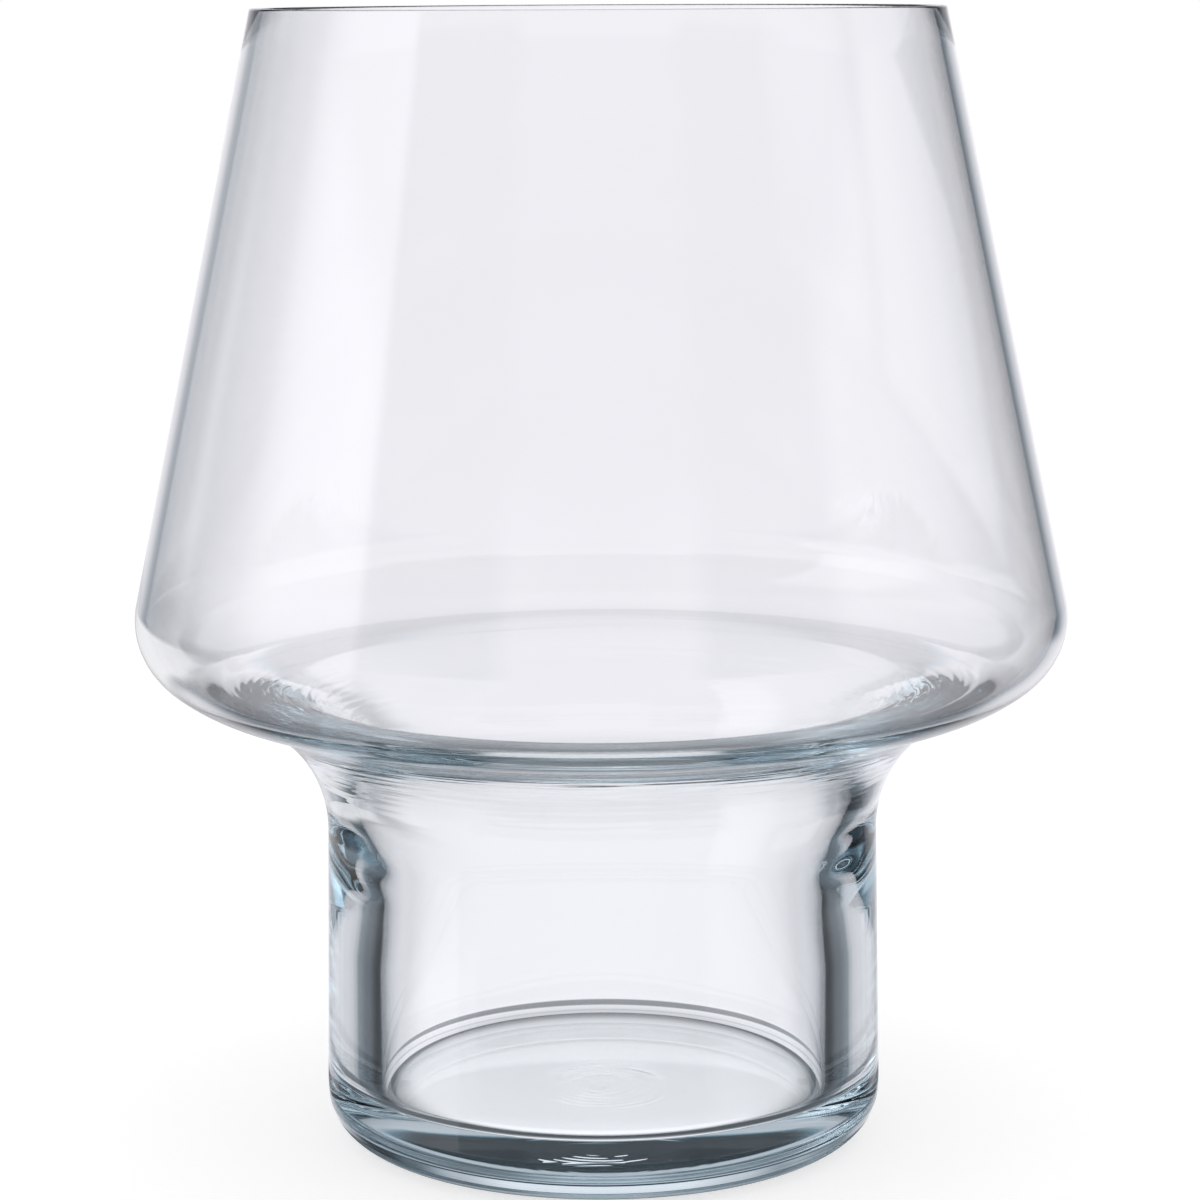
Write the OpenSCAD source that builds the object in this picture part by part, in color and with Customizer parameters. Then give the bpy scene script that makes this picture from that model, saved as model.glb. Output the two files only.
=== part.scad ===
// Clear glass vase: a shade-shaped bowl, wide at the shoulder and narrower at the rim, on a
// thick-walled round pedestal. The glass is one continuous wall, blown and then ground flat at
// the rim. It is drawn as six zones, from the base up to the rim. Each zone is turned about
// the vertical axis and meets the next one face to face.

/* [Overall] */
// Height from the table to the ground rim
height = 210; // [185:1:260]

/* [Bowl] */
// Outer radius at the rim
rim_r = 62.9; // [52:0.1:72]
// Outer radius at the widest point of the shoulder
shoulder_r = 86.1; // [82:0.1:94]
// Height of the widest point of the shoulder
shoulder_h = 99.3; // [92:0.1:112]
// Outer radius of the bend that turns the side of the bowl under
side_bend_r = 14.2; // [10:0.1:20]
// Outer radius of the flatter bend below it
under_bend_r = 26.8; // [22:0.1:34]
// Angle below the horizontal at which the first bend passes into the second
bend_change_angle = 52; // [35:1:60]

/* [Pedestal] */
// Outer radius of the pedestal just below the neck
neck_r = 51.3; // [47:0.1:56]
// Outer radius of the pedestal just above the base corner
foot_r = 52.1; // [48:0.1:57]
// Radius of the hollow curve from the pedestal out to the bowl
neck_curve_r = 25; // [20:0.1:32]
// Radius of the rounded corner at the bottom
base_corner_r = 9.4; // [4:0.1:11]

/* [Glass] */
// Wall thickness at the rim
rim_wall = 2.4; // [1.6:0.1:4]
// Wall thickness of the shoulder
shoulder_wall = 2.2; // [1.6:0.1:3.4]
// Radius of the well inside the pedestal
well_r = 42.2; // [36:0.1:44]
// Radius of the slow curve that opens the top of the well
well_opening_r = 150; // [100:1:170]
// Angle through which the well opens before it turns out to the bowl
well_opening_angle = 12.5; // [8:0.1:15]
// Length of the straight floor of the bowl, from the neck to the bend under the shoulder
floor_length = 10.6; // [6:0.1:14]
// Slope of that floor
floor_slope = 9; // [5:0.1:14]
// Inner radius of the bend under the shoulder
under_bend_in_r = 14.5; // [12.1:0.1:20]
// Thickness of the glass under the well
base_thickness = 10.6; // [6:0.1:16]
// Radius of the rounded corner at the bottom of the well
well_corner_r = 3; // [1:0.1:6]
// Height of the band at the rim that is ground and polished
rim_band_h = 3; // [2:0.1:8]
// Radius of the softened edges of the ground rim
rim_edge_r = 0.6; // [0.2:0.1:0.7]
// Width of the flat ring that the vase stands on
stand_ring_w = 4.5; // [2:0.1:9]
// Depth of the shallow hollow inside that ring
underside_depth = 0.3; // [0.1:0.1:1]

/* [Hidden] */

// Facets of the preview round the axis, and straight steps along each bend of the outline
turn_facets = 180;
bend_steps = 20;
edge_steps = 5;

// Pale blue-grey of clear glass, seen through
glass_colour = [0.78, 0.85, 0.88, 0.45];

// Points along an arc, from angle a0 to angle a1
function arc(centre, r, a0, a1, steps) =
    [for (i = [0 : steps]) centre + r * [cos(a0 + (a1 - a0) * i / steps), sin(a0 + (a1 - a0) * i / steps)]];

// Angle at which the straight line from point p touches the outer side of a circle
function touch_angle(p, centre, r) =
    atan2(p[1] - centre[1], p[0] - centre[0]) - acos(r / norm(p - centre));

// Reverses a chain of points
function back(points) = [for (i = [len(points) - 1 : -1 : 0]) points[i]];

// Centres of the two outer bends of the shoulder, which share their tangent where they meet
side_c = [shoulder_r - side_bend_r, shoulder_h];
bend_line = [cos(bend_change_angle), -sin(bend_change_angle)];
under_c = side_c - (under_bend_r - side_bend_r) * bend_line;

// The outside: the hollow curve of the neck runs smoothly into the bend under the shoulder
neck_x = neck_r + neck_curve_r;
neck_drop = sqrt(pow(neck_curve_r + under_bend_r, 2) - pow(neck_x - under_c[0], 2));
neck_c = [neck_x, under_c[1] - neck_drop];
neck_end_a = atan2(neck_drop, under_c[0] - neck_x);

// The inside of the bowl: two bends in the shoulder, and the straight floor that slopes down
// from the lower one to the neck
side_bend_in_r = side_bend_r - shoulder_wall;
under_in_c = side_c - (under_bend_in_r - side_bend_in_r) * bend_line;
floor_square = [sin(floor_slope), -cos(floor_slope)];
floor_out = under_in_c + under_bend_in_r * floor_square;
floor_in = floor_out - floor_length * [cos(floor_slope), sin(floor_slope)];

// The inside of the neck: the well opens slowly, then turns out along a tighter curve. The
// radius of that curve is the one that meets both the opening and the floor of the bowl
opening_line = [cos(well_opening_angle), -sin(well_opening_angle)];
opened_r = well_r + well_opening_r * (1 - opening_line[0]);
well_curve_r = (floor_in[0] - opened_r) / (opening_line[0] - floor_square[0]);
well_c = floor_in + well_curve_r * floor_square;
opening_c = well_c + (well_opening_r - well_curve_r) * opening_line;

// The straight sides of the bowl touch the shoulder's side bend outside and inside
rim_out = [rim_r, height];
rim_in = [rim_r - rim_wall, height];
side_out_a = touch_angle(rim_out, side_c, side_bend_r);
side_in_a = touch_angle(rim_in, side_c, side_bend_in_r);
side_out = side_c + side_bend_r * [cos(side_out_a), sin(side_out_a)];
side_in = side_c + side_bend_in_r * [cos(side_in_a), sin(side_in_a)];

// Point at height z on the straight line from a to b
function at_height(a, b, z) = a + (b - a) * (z - a[1]) / (b[1] - a[1]);

// Seams between the zones
base_seam_z = base_thickness + well_corner_r;
wall_top_z = min(opening_c[1], neck_c[1]);
rim_seam_z = height - rim_band_h;
foot_side = [foot_r, base_corner_r];
neck_side = [neck_r, neck_c[1]];

// Turns a closed outline of radius and height about the vertical axis, in glass
module turned(outline) {
    color(glass_colour)
        rotate_extrude($fn = turn_facets)
            polygon(outline);
}

// Thick bottom: stands on a flat ring round a shallow hollow, with the floor of the well on top
module base() {
    ring_out_r = foot_r - base_corner_r;
    ring_in_r = ring_out_r - stand_ring_w;
    hollow_r = (pow(ring_in_r, 2) + pow(underside_depth, 2)) / (2 * underside_depth);
    hollow_c = [0, underside_depth - hollow_r];
    hollow_a = 90 - asin(ring_in_r / hollow_r);
    corner_c = [well_r - well_corner_r, base_seam_z];
    turned(concat(
        arc(hollow_c, hollow_r, 90, hollow_a, bend_steps),
        arc([ring_out_r, base_corner_r], base_corner_r, -90, 0, bend_steps),
        [at_height(foot_side, neck_side, base_seam_z)],
        arc(corner_c, well_corner_r, 0, -90, bend_steps),
        [[0, base_thickness]]
    ));
}

// Upright wall of the pedestal round the well, a little wider at the foot than at the neck
module pedestal_wall() {
    turned([
        [well_r, base_seam_z],
        at_height(foot_side, neck_side, base_seam_z),
        at_height(foot_side, neck_side, wall_top_z),
        [well_r, wall_top_z]
    ]);
}

// Hollow curve from the pedestal out to the bowl, thick at the neck and thin at the shoulder
module neck_flare() {
    turned(concat(
        [at_height(foot_side, neck_side, wall_top_z)],
        arc(neck_c, neck_curve_r, 180, neck_end_a, bend_steps),
        [floor_out],
        back(concat(
            [[well_r, wall_top_z]],
            arc(opening_c, well_opening_r, 180, 180 - well_opening_angle, bend_steps),
            arc(well_c, well_curve_r, 180 - well_opening_angle, 90 + floor_slope, bend_steps)
        ))
    ));
}

// Rounded shoulder: a bend underneath and a tighter one at the side
module shoulder() {
    turned(concat(
        arc(under_c, under_bend_r, neck_end_a - 180, -bend_change_angle, bend_steps),
        arc(side_c, side_bend_r, -bend_change_angle, side_out_a, bend_steps),
        back(concat(
            arc(under_in_c, under_bend_in_r, floor_slope - 90, -bend_change_angle, bend_steps),
            arc(side_c, side_bend_in_r, -bend_change_angle, side_in_a, bend_steps)
        ))
    ));
}

// Straight cone of the bowl, leaning in towards the rim
module bowl_wall() {
    turned([
        side_out,
        at_height(side_out, rim_out, rim_seam_z),
        at_height(side_in, rim_in, rim_seam_z),
        side_in
    ]);
}

// Ground and polished band at the mouth: flat on top, with softened edges
module rim() {
    out_c = [rim_r - rim_edge_r * (1 - sin(side_out_a)) / cos(side_out_a), height - rim_edge_r];
    in_c = [rim_in[0] + rim_edge_r * (1 + sin(side_in_a)) / cos(side_in_a), height - rim_edge_r];
    turned(concat(
        [at_height(side_out, rim_out, rim_seam_z)],
        arc(out_c, rim_edge_r, side_out_a, 90, edge_steps),
        arc(in_c, rim_edge_r, 90, 180 + side_in_a, edge_steps),
        [at_height(side_in, rim_in, rim_seam_z)]
    ));
}

base();
pedestal_wall();
neck_flare();
shoulder();
bowl_wall();
rim();
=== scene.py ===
import math

import bpy
import numpy as np
from mathutils import Matrix


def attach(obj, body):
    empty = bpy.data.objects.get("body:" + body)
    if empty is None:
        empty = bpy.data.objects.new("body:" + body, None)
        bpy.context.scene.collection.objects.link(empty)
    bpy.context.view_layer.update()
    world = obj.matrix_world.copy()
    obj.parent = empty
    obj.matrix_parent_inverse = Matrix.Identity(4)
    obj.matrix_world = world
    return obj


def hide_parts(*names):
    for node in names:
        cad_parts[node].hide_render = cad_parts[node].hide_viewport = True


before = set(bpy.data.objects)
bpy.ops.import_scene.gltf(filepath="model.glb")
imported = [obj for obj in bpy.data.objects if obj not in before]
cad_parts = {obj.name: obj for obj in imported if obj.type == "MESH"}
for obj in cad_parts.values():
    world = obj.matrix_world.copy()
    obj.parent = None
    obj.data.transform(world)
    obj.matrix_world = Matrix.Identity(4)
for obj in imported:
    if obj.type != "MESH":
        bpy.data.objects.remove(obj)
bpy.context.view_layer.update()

# The vase. The real one is a single piece of clear glass, blown into a mould and ground flat at the
# rim, so its pedestal, neck, shoulder and bowl run into each other with no joint. One closed skin
# stands here for all six zones of the model. It follows their outlines, in mm, and adds slight waves.
MM = 0.001
full_turn = 2 * math.pi
quarter_turn = math.pi / 2
height = 210
rim_r = 62.9
rim_wall = 2.4
rim_edge_r = 0.6
shoulder_r = 86.1
shoulder_h = 99.3
shoulder_wall = 2.2
side_bend_r = 14.2
under_bend_r = 26.8
under_bend_in_r = 14.5
floor_slope = math.radians(9)
bend_change = math.radians(52)
neck_r = 51.3
neck_curve_r = 25
foot_r = 52.1
base_corner_r = 9.4
stand_ring_w = 4.5
hollow_depth = 0.3
base_thickness = 10.6
well_r = 42.2
well_corner_r = 3
well_opening_r = 150
well_opening = math.radians(12.5)
floor_length = 10.6


# A bend and a straight of the outline, as points of radius and height
def arc(centre, radius, start, end, steps):
    turn = np.linspace(start, end, steps + 1)
    return np.c_[centre[0] + radius * np.cos(turn), centre[1] + radius * np.sin(turn)]


def line(start, end, steps):
    share = np.linspace(0, 1, steps + 1)[:, None]
    return np.asarray(start) + (np.asarray(end) - np.asarray(start)) * share


def at_angle(angle):
    return np.array([math.cos(angle), math.sin(angle)])


# The angle at which the straight line from a point touches the outer side of a circle
def touch_angle(point, centre, radius):
    across = point[0] - centre[0]
    up = point[1] - centre[1]
    return math.atan2(up, across) - math.acos(radius / math.hypot(across, up))


# The two outer bends of the shoulder, and the hollow curve of the neck below them
side_c = np.array([shoulder_r - side_bend_r, shoulder_h])
bend_line = at_angle(-bend_change)
under_c = side_c - (under_bend_r - side_bend_r) * bend_line
neck_x = neck_r + neck_curve_r
neck_drop = math.sqrt((neck_curve_r + under_bend_r) ** 2 - (neck_x - under_c[0]) ** 2)
neck_c = np.array([neck_x, under_c[1] - neck_drop])
neck_end = math.atan2(neck_drop, under_c[0] - neck_x)

# The inner bends, the sloping floor of the bowl, and the curves by which the well opens into it
side_bend_in_r = side_bend_r - shoulder_wall
under_in_c = side_c - (under_bend_in_r - side_bend_in_r) * bend_line
floor_square = np.array([math.sin(floor_slope), -math.cos(floor_slope)])
floor_out = under_in_c + under_bend_in_r * floor_square
floor_in = floor_out - floor_length * at_angle(floor_slope)
opening_line = at_angle(-well_opening)
opened_r = well_r + well_opening_r * (1 - opening_line[0])
well_curve_r = (floor_in[0] - opened_r) / (opening_line[0] - floor_square[0])
well_c = floor_in + well_curve_r * floor_square
opening_c = well_c + (well_opening_r - well_curve_r) * opening_line

# The straight sides of the bowl, up to the softened edges of the ground rim
rim_in_r = rim_r - rim_wall
out_lean = touch_angle([rim_r, height], side_c, side_bend_r)
in_lean = touch_angle([rim_in_r, height], side_c, side_bend_in_r)
side_out = side_c + side_bend_r * at_angle(out_lean)
side_in = side_c + side_bend_in_r * at_angle(in_lean)
edge_h = height - rim_edge_r
out_edge_c = [rim_r - rim_edge_r * (1 - math.sin(out_lean)) / math.cos(out_lean), edge_h]
in_edge_c = [rim_in_r + rim_edge_r * (1 + math.sin(in_lean)) / math.cos(in_lean), edge_h]
out_edge = arc(out_edge_c, rim_edge_r, out_lean, quarter_turn, steps=6)
in_edge = arc(in_edge_c, rim_edge_r, quarter_turn, math.pi + in_lean, steps=6)

# The ring that the vase stands on, round a shallow hollow
ring_out_r = foot_r - base_corner_r
ring_in_r = ring_out_r - stand_ring_w
hollow_r = (ring_in_r ** 2 + hollow_depth ** 2) / (2 * hollow_depth)
hollow_end = quarter_turn - math.asin(ring_in_r / hollow_r)
well_corner_c = [well_r - well_corner_r, base_thickness + well_corner_r]

# The outside from the middle of the underside up to the rim, and the inside from the rim down
outside = [
    arc([0, hollow_depth - hollow_r], hollow_r, quarter_turn, hollow_end, steps=120),
    line([ring_in_r, 0], [ring_out_r, 0], steps=4),
    arc([ring_out_r, base_corner_r], base_corner_r, -quarter_turn, 0, steps=30),
    line([foot_r, base_corner_r], [neck_r, neck_c[1]], steps=30),
    arc(neck_c, neck_curve_r, math.pi, neck_end, steps=110),
    arc(under_c, under_bend_r, neck_end - math.pi, -bend_change, steps=50),
    arc(side_c, side_bend_r, -bend_change, out_lean, steps=28),
    line(side_out, out_edge[0], steps=14),
    out_edge,
]
inside = [
    in_edge,
    line(in_edge[-1], side_in, steps=14),
    arc(side_c, side_bend_in_r, in_lean, -bend_change, steps=28),
    arc(under_in_c, under_bend_in_r, -bend_change, floor_slope - quarter_turn, steps=24),
    line(floor_out, floor_in, steps=24),
    arc(well_c, well_curve_r, quarter_turn + floor_slope, math.pi - well_opening, steps=90),
    arc(opening_c, well_opening_r, math.pi - well_opening, math.pi, steps=50),
    line([well_r, opening_c[1]], [well_r, well_corner_c[1]], steps=14),
    arc(well_corner_c, well_corner_r, 0, -quarter_turn, steps=14),
    line([well_corner_c[0], base_thickness], [0, base_thickness], steps=16),
]


# Joins the parts, and leaves out the points that fall together
def outline(parts, same=1e-5):
    chain = np.vstack(parts)
    return chain[np.r_[True, np.hypot(*np.diff(chain, axis=0).T) > same]]


out_points = outline(outside)
in_points = outline(inside)
points = np.vstack([out_points, in_points])
is_inner = np.r_[np.zeros(len(out_points), bool), np.ones(len(in_points), bool)]

around = 320
turn = np.arange(around) * full_turn / around
along = np.r_[0, np.cumsum(np.hypot(*np.diff(points, axis=0).T))]
step = np.gradient(points, axis=0)
normal = np.c_[step[:, 1], -step[:, 0]] / np.hypot(*step.T)[:, None]


# 1 between low and high and 0 outside, with soft ends
def window(x, low, high, soft):
    rise = np.clip((x - low) / soft, 0, 1)
    fall = np.clip((high - x) / soft, 0, 1)
    return (rise * rise * (3 - 2 * rise)) * (fall * fall * (3 - 2 * fall))


# 1 at an angle round the vase, fading out on both sides of it
def near(angle, width):
    apart = (turn - math.radians(angle) + math.pi) % full_turn - math.pi
    return np.exp(-(apart / math.radians(width)) ** 2)[None, :]


# Ripples of about one length, which run up the wall and slant round it
def waves(seed, turns, length, count=12, shortest=0.7, longest=1.6):
    draw = np.random.RandomState(seed)
    total = np.zeros((len(points), around))
    for _ in range(count):
        rounds = draw.randint(-turns, turns + 1)
        wave = length * draw.uniform(shortest, longest)
        shift = draw.uniform(0, full_turn)
        total += np.sin(full_turn * along[:, None] / wave + rounds * turn[None, :] + shift)
    return total / math.sqrt(count / 2)


# The waves are cut off outside their own part of the wall. The tools leave slow ones in the inner
# wall, at the two dark pockets under the neck, and close ones on both sides of the neck, which show
# as a rippled band. Faint ones lie in the middle of the underside.
left_pocket = 206
right_pocket = 334
pocket_depth = 0.035
neck_in_depth = 0.014
neck_out_depth = 0.012
underside_depth = 0.004
r = points[:, :1]
z = points[:, 1:]
inner = is_inner[:, None].astype(float)
outer = 1 - inner
pockets = inner * window(z, low=46, high=76, soft=9)
pockets = pockets * (near(left_pocket, width=9) + near(right_pocket, width=8))
neck_in = inner * window(z, low=64, high=88, soft=6) * window(r, low=44, high=62, soft=6)
neck_out = outer * window(z, low=62, high=88, soft=6) * window(r, low=51, high=74, soft=5)
underside = outer * window(z, low=-5, high=3, soft=1) * window(r, low=1, high=16, soft=4)
moves = waves(seed=3, turns=9, length=9) * pockets * pocket_depth
moves = moves + waves(seed=5, turns=10, length=1.9) * neck_in * neck_in_depth
moves = moves + waves(seed=8, turns=10, length=1.9) * neck_out * neck_out_depth
moves = moves + waves(seed=9, turns=3, length=2.2) * underside * underside_depth

# The skin: one ring of points for each point of the outline, and one point where each end of the
# outline meets the axis
radius = ((r + normal[:, :1] * moves) * MM)[1:-1]
level = ((z + normal[:, 1:] * moves) * MM)[1:-1]
verts = np.stack([radius * np.cos(turn), radius * np.sin(turn), level], -1).reshape(-1, 3)
under_middle = len(verts)
well_middle = under_middle + 1
verts = np.vstack([verts, [[0, 0, points[0, 1] * MM]], [[0, 0, points[-1, 1] * MM]]])


def ring_faces(rings, around):
    faces = []
    for i in range(rings - 1):
        for j in range(around):
            k = (j + 1) % around
            faces.append((i * around + j, i * around + k, (i + 1) * around + k, (i + 1) * around + j))
    return faces


rings = len(radius)
last_ring = (rings - 1) * around
faces = ring_faces(rings, around)
for j in range(around):
    k = (j + 1) % around
    faces.append((under_middle, k, j))
    faces.append((well_middle, last_ring + j, last_ring + k))
mesh = bpy.data.meshes.new("vase_glass")
mesh.from_pydata(verts.tolist(), [], faces)
mesh.update()
mesh.shade_smooth()
vase = bpy.data.objects.new("vase_glass", mesh)
bpy.context.scene.collection.objects.link(vase)


# A socket that can be added, subtracted and multiplied. Every node is made in the tree at hand.
class Wrap:
    tree = None

    def __init__(self, socket):
        self.socket = socket

    # Sockets are given by name, with _ for a space, or by place as i0, i1 and so on
    @classmethod
    def node(cls, kind, settings=None, **inputs):
        node = cls.tree.nodes.new(kind)
        for name, value in (settings or {}).items():
            setattr(node, name, value)
        for name, value in inputs.items():
            key = int(name[1:]) if name[1:].isdigit() else name.replace("_", " ")
            if isinstance(value, Wrap):
                value.into(node.inputs[key])
            else:
                node.inputs[key].default_value = value
        return node

    @classmethod
    def math(cls, operation, *values):
        inputs = {f"i{place}": value for place, value in enumerate(values)}
        return Wrap(cls.node("ShaderNodeMath", {"operation": operation}, **inputs).outputs[0])

    def into(self, socket):
        Wrap.tree.links.new(self.socket, socket)

    def __add__(self, other):
        return Wrap.math("ADD", self, other)

    __radd__ = __add__

    def __sub__(self, other):
        return Wrap.math("SUBTRACT", self, other)

    def __rsub__(self, other):
        return Wrap.math("SUBTRACT", other, self)

    def __mul__(self, other):
        return Wrap.math("MULTIPLY", self, other)

    __rmul__ = __mul__


# A soft step up or down, and a mix of two colours
def smooth(x, start, end, low=0.0, high=1.0):
    settings = {"interpolation_type": "SMOOTHSTEP"}
    node = Wrap.node("ShaderNodeMapRange", settings, i0=x, i1=start, i2=end, i3=low, i4=high)
    return Wrap(node.outputs[0])


def fade(x, start, end):
    return smooth(x, start, end, 1.0, 0.0)


def blend(share, low, high):
    node = Wrap.node("ShaderNodeMix", {"data_type": "RGBA"}, i0=share, i6=low, i7=high)
    return Wrap(node.outputs[2])


# Clear glass with a faint blue-green cast where it is thick. The ground rim is matt with fine pits,
# and so, more weakly, is the worn ring that the foot stands on.
glass_ior = 1.52
cast_colour = (0.6, 0.83, 0.92, 1)
cast_density = 5.0
ground_start = height - 0.5
ground_full = height - 0.1
ground_grain = (0.42, 0.62)
worn_height = 0.06
worn_grain = (0.5, 0.6)
worn_share = 0.4
matt_roughness = 0.22
grain_scale = 1400.0
grain_detail = 2.0
pit_strength = 0.5
pit_depth = 0.0001
glass = bpy.data.materials.new("clear_glass")
glass.use_nodes = True
Wrap.tree = glass.node_tree
skin = glass.node_tree.nodes["Principled BSDF"]
skin.inputs["Base Color"].default_value = (1, 1, 1, 1)
skin.inputs["Roughness"].default_value = 0
skin.inputs["IOR"].default_value = glass_ior
skin.inputs["Transmission Weight"].default_value = 1
tint = Wrap.node("ShaderNodeVolumeAbsorption", None, Color=cast_colour, Density=cast_density)
Wrap(tint.outputs[0]).into(glass.node_tree.nodes["Material Output"].inputs["Volume"])
spot = Wrap(Wrap.node("ShaderNodeTexCoord").outputs["Object"])
spot_parts = Wrap.node("ShaderNodeSeparateXYZ", None, i0=spot).outputs
up_mm = Wrap(spot_parts["Z"]) * (1 / MM)
noise = Wrap.node("ShaderNodeTexNoise", None, Vector=spot, Scale=grain_scale, Detail=grain_detail)
grain = Wrap(noise.outputs["Fac"])
ground = smooth(up_mm, ground_start, ground_full)
worn = fade(up_mm, 0.0, worn_height) * smooth(grain, *worn_grain) * worn_share
matt = Wrap.math("MAXIMUM", ground * smooth(grain, *ground_grain), worn)
(matt * matt_roughness).into(skin.inputs["Roughness"])
pits = Wrap.node("ShaderNodeBump", None, Height=grain * ground, Strength=pit_strength, Distance=pit_depth)
Wrap(pits.outputs[0]).into(skin.inputs["Normal"])
mesh.materials.append(glass)
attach(vase, "root")
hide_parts("base", "pedestal_wall", "neck_flare", "shoulder", "bowl_wall", "rim")

# The table top, a plain white sheet that the vase stands on. It keeps the soft shadow of the foot.
# The glass doesn't see it: what shows through the glass below the horizon comes from the disc and
# from the studio.
floor_size = 8000
floor_white = (0.5, 0.5, 0.5, 1)
floor_glow = 0.66
bpy.ops.mesh.primitive_plane_add(size=floor_size * MM)
floor = bpy.context.object
floor.name = "floor"
paper = bpy.data.materials.new("floor")
paper.use_nodes = True
sheet = paper.node_tree.nodes["Principled BSDF"]
sheet.inputs["Base Color"].default_value = floor_white
sheet.inputs["Roughness"].default_value = 1
sheet.inputs["Specular IOR Level"].default_value = 0
sheet.inputs["Emission Color"].default_value = (1, 1, 1, 1)
sheet.inputs["Emission Strength"].default_value = floor_glow
floor.data.materials.append(paper)
floor.visible_transmission = False
floor.visible_glossy = False

# Painted light and shade on the table round the foot, as a flat disc that only the glass sees; its
# glowing colours stand in for them. The thick wall throws a dark ring, painted as shadow, its rounded
# corner a thin and a wide painted shade ring outside it, and the base lets through light, painted as a
# bright round area. A white card lies behind on the left, for a clear bowl from above.
disc_in = 0.5
disc_out = 940
disc_rings = 40
disc_around = 96
disc_level = -0.02
disc_verts = []
for ring_r in np.linspace(disc_in * MM, disc_out * MM, disc_rings):
    for j in range(disc_around):
        angle = full_turn * j / disc_around
        disc_verts.append((ring_r * math.cos(angle), ring_r * math.sin(angle), disc_level * MM))
disc_faces = [(a, d, c, b) for a, b, c, d in ring_faces(disc_rings, disc_around)]
disc_mesh = bpy.data.meshes.new("table_shadow")
disc_mesh.from_pydata(disc_verts, [], disc_faces)
disc = bpy.data.objects.new("table_shadow", disc_mesh)
bpy.context.scene.collection.objects.link(disc)


# 1 from the end of the rise to the start of the fall
def between(x, rise, rise_end, fall, fall_end):
    return smooth(x, rise, rise_end) * fade(x, fall, fall_end)


# The reach is in mm from the axis. The bearing is 0 behind the vase and grows to the left.
light_patch_out = (38, 49)
wall_shadow_out = (50.2, 51.8)
thin_shade_ring_reach = (55.5, 57, 57.5, 59)
wide_shade_ring_reach = (63.2, 65.2, 70, 74)
card_reach = (200, 290, 820, 930)
card_bearing = (14, 28, 68, 80)
painted_shadow_colour = (0.055, 0.07, 0.08, 1)
light_patch_colour = (1.14, 1.14, 1.18, 1)
card_colour = (0.86, 0.86, 0.88, 1)
thin_ring_shade = 0.25
wide_ring_shade = 0.75
near_shift = 7.0
near_soft = 15
degrees = 180 / math.pi
shade = bpy.data.materials.new("table_shadow")
shade.use_nodes = True
Wrap.tree = shade.node_tree
shade.node_tree.nodes.clear()
place = Wrap(Wrap.node("ShaderNodeTexCoord").outputs["Object"])
length = Wrap(Wrap.node("ShaderNodeVectorMath", {"operation": "LENGTH"}, i0=place).outputs["Value"])
place_parts = Wrap.node("ShaderNodeSeparateXYZ", None, i0=place).outputs
place_x = Wrap(place_parts["X"])
place_y = Wrap(place_parts["Y"])
reach = length * (1 / MM)
bearing = Wrap.math("ARCTAN2", place_x * -1.0, place_y) * degrees
near_side = fade(place_y, -near_soft * MM, near_soft * MM)
card = between(reach, *card_reach) * between(bearing, *card_bearing)
# Masks of the painted shadow under the wall and of the two painted shade rings outside it
wall_shadow = fade(reach, *wall_shadow_out)
thin_shade_ring = between(reach, *thin_shade_ring_reach) * thin_ring_shade
wide_shade_ring = between(reach, *wide_shade_ring_reach) * wide_ring_shade
cover = Wrap.math("MAXIMUM", wall_shadow, Wrap.math("MAXIMUM", thin_shade_ring, wide_shade_ring))
cover = Wrap.math("MAXIMUM", cover, card)
# The painted light that the base lets through, a little smaller on the near side
light_patch = fade(reach + near_side * near_shift, *light_patch_out)
# The painted colour: painted shadow blended into painted light, then the card's plain white
cast = blend(light_patch, painted_shadow_colour, light_patch_colour)
cast = blend(card, cast, card_colour)
clear = Wrap(Wrap.node("ShaderNodeBsdfTransparent").outputs[0])
painted_glow = Wrap(Wrap.node("ShaderNodeEmission", None, Color=cast, Strength=1.0).outputs[0])
mixed = Wrap(Wrap.node("ShaderNodeMixShader", None, i0=cover, i1=clear, i2=painted_glow).outputs[0])
Wrap.node("ShaderNodeOutputMaterial", None, Surface=mixed)
disc_mesh.materials.append(shade)
disc.visible_camera = False
disc.visible_diffuse = False
disc.visible_shadow = False

# The studio, which shows only in the glass: pale panels and dark flags round the vase, as levels of
# light by direction in degrees. az is 0 behind the vase and grows to the left, away is how far that
# is to either side, and el is the height above the horizon. The camera and the table see plain white.
world = bpy.data.worlds.new("studio")
bpy.context.scene.world = world
world.use_nodes = True
Wrap.tree = world.node_tree
world.node_tree.nodes.clear()
direction = Wrap(Wrap.node("ShaderNodeTexCoord").outputs["Generated"])
direction_parts = Wrap.node("ShaderNodeSeparateXYZ", None, i0=direction).outputs
east = Wrap(direction_parts["X"])
north = Wrap(direction_parts["Y"])
up = Wrap(direction_parts["Z"])
az = Wrap.math("ARCTAN2", east * -1.0, north) * degrees
el = Wrap.math("ARCSINE", up) * degrees
away = Wrap.math("ABSOLUTE", az)


# A level of light that goes from mark to mark, each a pair of degrees and level
def levels(x, *marks):
    total = marks[0][1]
    for (start, low), (end, high) in zip(marks, marks[1:]):
        total = smooth(x, start, end, 0.0, high - low) + total
    return total


# One level of light that gives way to another
def change(x, start, end, below, above):
    return below * fade(x, start, end) + above * smooth(x, start, end)


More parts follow.
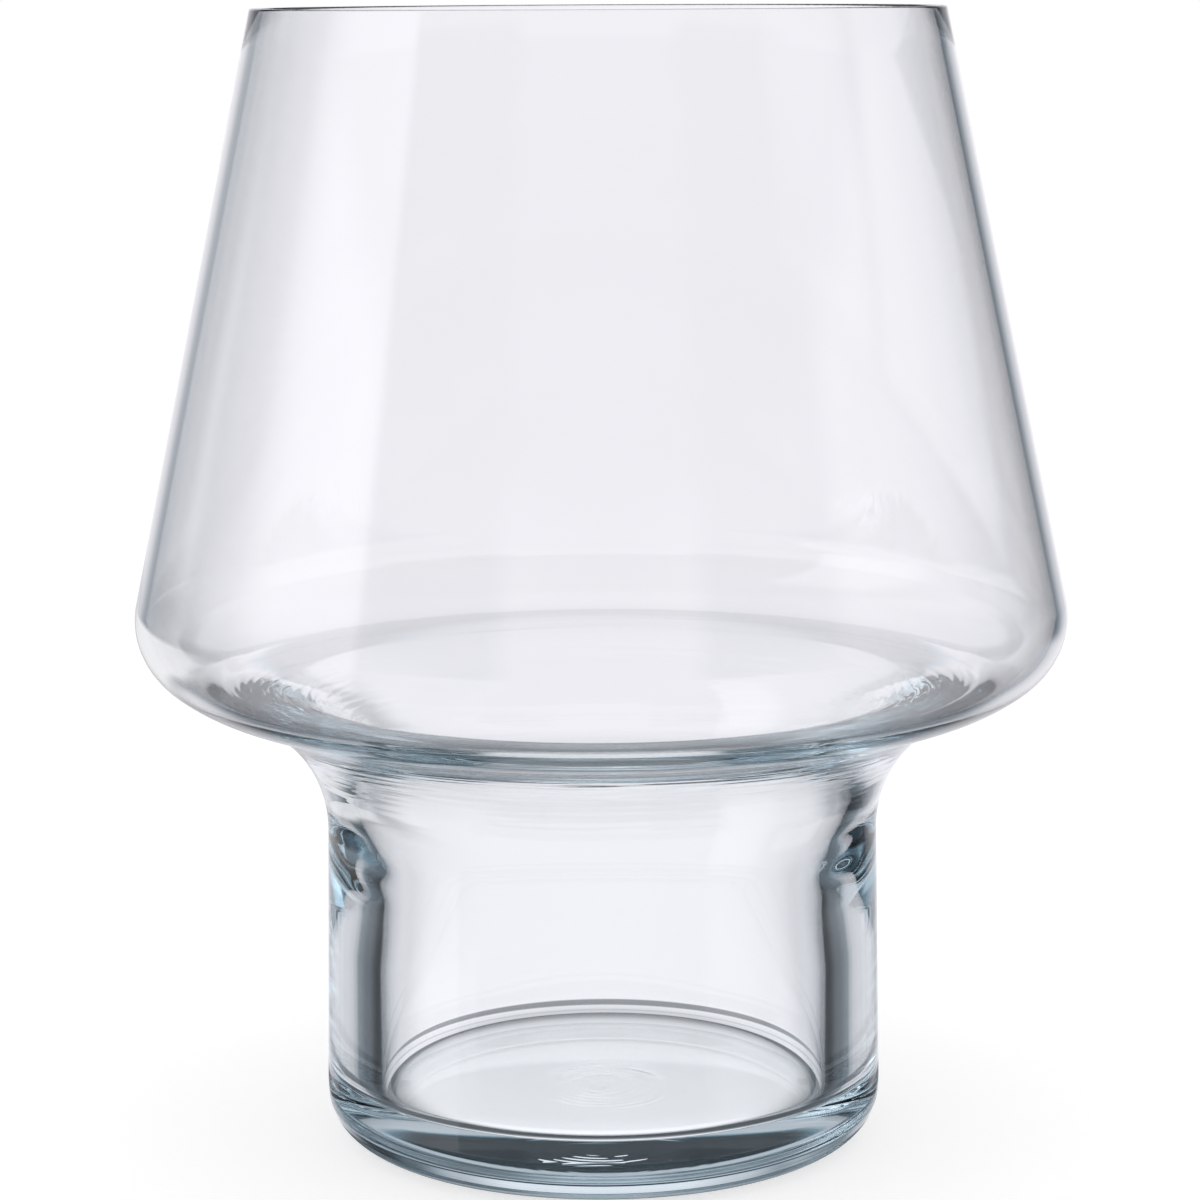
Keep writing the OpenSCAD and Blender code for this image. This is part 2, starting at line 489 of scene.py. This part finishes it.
# Five layers, from straight below to high above: the table, its far part, the strips that make the
# bright wedges in the pedestal, the backdrop at the height of the vase, and the room above it
table = levels(away, (0, 0.1), (20, 0.06), (52, 0.06), (75, 0.4), (110, 0.6))
far_table = levels(
    away, (0, 0.7), (14, 0.62), (26, 0.28), (36, 0.11), (50, 0.13), (66, 0.44), (90, 0.62), (120, 0.8))
wedge = levels(
    away, (0, 0.97), (14, 0.95), (23, 0.8), (30, 0.7), (34, 0.54), (38, 0.25), (46, 0.13), (54, 0.02),
    (60, 0.08), (72, 0.42), (90, 0.62), (120, 0.84))
backdrop = levels(
    az, (-175, 0.8), (-155, 0.86), (-125, 0.84), (-100, 0.7), (-85, 0.66), (-70, 0.48), (-60, 0.26),
    (-50, 0.03), (-40, 0.03), (-32, 0.16), (-22, 0.6), (-12, 0.97), (10, 0.97), (20, 0.72), (30, 0.36),
    (40, 0.16), (48, 0.1), (58, 0.3), (72, 0.45), (85, 0.62), (115, 0.8), (135, 0.84), (160, 0.8))
room = levels(away, (0, 0.58), (60, 0.58), (92, 0.22), (150, 0.22))
table_ends = (-62, -42)
far_table_ends = (-36, -27)
wedge_ends = (-14, -9)
backdrop_ends = (13.5, 16.5)
lights = change(el, *wedge_ends, wedge, backdrop)
lights = change(el, *far_table_ends, far_table, lights)
lights = change(el, *table_ends, table, lights)
lights = change(el, *backdrop_ends, lights, room)

# The dark upper edge of the backdrop, the shade of the foot straight below, a dark flag behind the
# camera, a weak fill on the left, and the softbox beyond it
top_edge_el = (12.5, 14.5, 19.5, 23)
top_edge_away = (30, 50)
top_edge_dark = 0.95
under_foot_el = (-80, -60)
under_foot_light = 0.1
far_flag_el = (8, 12, 30, 38)
far_flag_away = (112, 124, 150, 160)
far_flag_dark = 0.75
left_fill_el = (-6, 0, 9, 13)
left_fill_az = (26, 36, 52, 62)
left_fill_light = 0.22
softbox_el = (-30, -10, 40, 60)
softbox_az = (76, 94, 117, 120)
softbox_light = 0.8
top_edge = between(el, *top_edge_el) * fade(away, *top_edge_away)
under_foot = smooth(el, *under_foot_el, under_foot_light, 1.0)
far_flag = between(away, *far_flag_away) * between(el, *far_flag_el)
left_fill = between(az, *left_fill_az) * between(el, *left_fill_el)
softbox = between(az, *softbox_az) * between(el, *softbox_el)
lights = lights * (1 - top_edge * top_edge_dark) * under_foot
lights = lights * (1 - far_flag * far_flag_dark)
lights = lights + left_fill * left_fill_light + softbox * softbox_light

# Dark directions are bluer than pale ones, and the edge of the backdrop is the bluest
dark_tone = (0.72, 0.86, 1.0, 1)
pale_tone = (0.965, 0.955, 1.0, 1)
edge_tone = (0.35, 0.75, 1.0, 1)
pale_level = 0.85
table_light = 0.9
tone = blend(smooth(lights, 0.0, pale_level), dark_tone, pale_tone)
tone = blend(top_edge, tone, edge_tone)
path = Wrap.node("ShaderNodeLightPath").outputs
cam_ray = Wrap(path["Is Camera Ray"])
diffuse_ray = Wrap(path["Is Diffuse Ray"])
plain = Wrap.math("MAXIMUM", cam_ray, diffuse_ray)
colour = blend(plain, tone, (1, 1, 1, 1))
strength = cam_ray + (1 - cam_ray) * (diffuse_ray * table_light + (1 - diffuse_ray) * lights)
background = Wrap(Wrap.node("ShaderNodeBackground", None, Color=colour, Strength=strength).outputs[0])
Wrap.node("ShaderNodeOutputWorld", None, Surface=background)

# The camera, a long lens in front of the vase and a little above it, tipped down by 9.6 degrees. Its
# place in metres, its lens and its slight roll were fitted to the outline of the vase in the photo.
camera_place = (-0.0002, -0.6748, 0.2148)
camera_tip = 0.1669
camera_roll = math.radians(0.3)
focal_px = 3682
photo_px = 1200
sensor_mm = 36
bounces = 20
camera_data = bpy.data.cameras.new("camera")
camera_data.lens = focal_px / photo_px * sensor_mm
camera_data.clip_start = 0.01
camera_data.clip_end = 50
camera = bpy.data.objects.new("camera", camera_data)
bpy.context.scene.collection.objects.link(camera)
camera.location = camera_place
look = Matrix.Rotation(quarter_turn - camera_tip, 3, "X") @ Matrix.Rotation(-camera_roll, 3, "Z")
camera.rotation_euler = look.to_euler()
scene = bpy.context.scene
scene.camera = camera
scene.view_settings.view_transform = "Standard"
scene.cycles.max_bounces = bounces
scene.cycles.transmission_bounces = bounces
scene.cycles.glossy_bounces = bounces
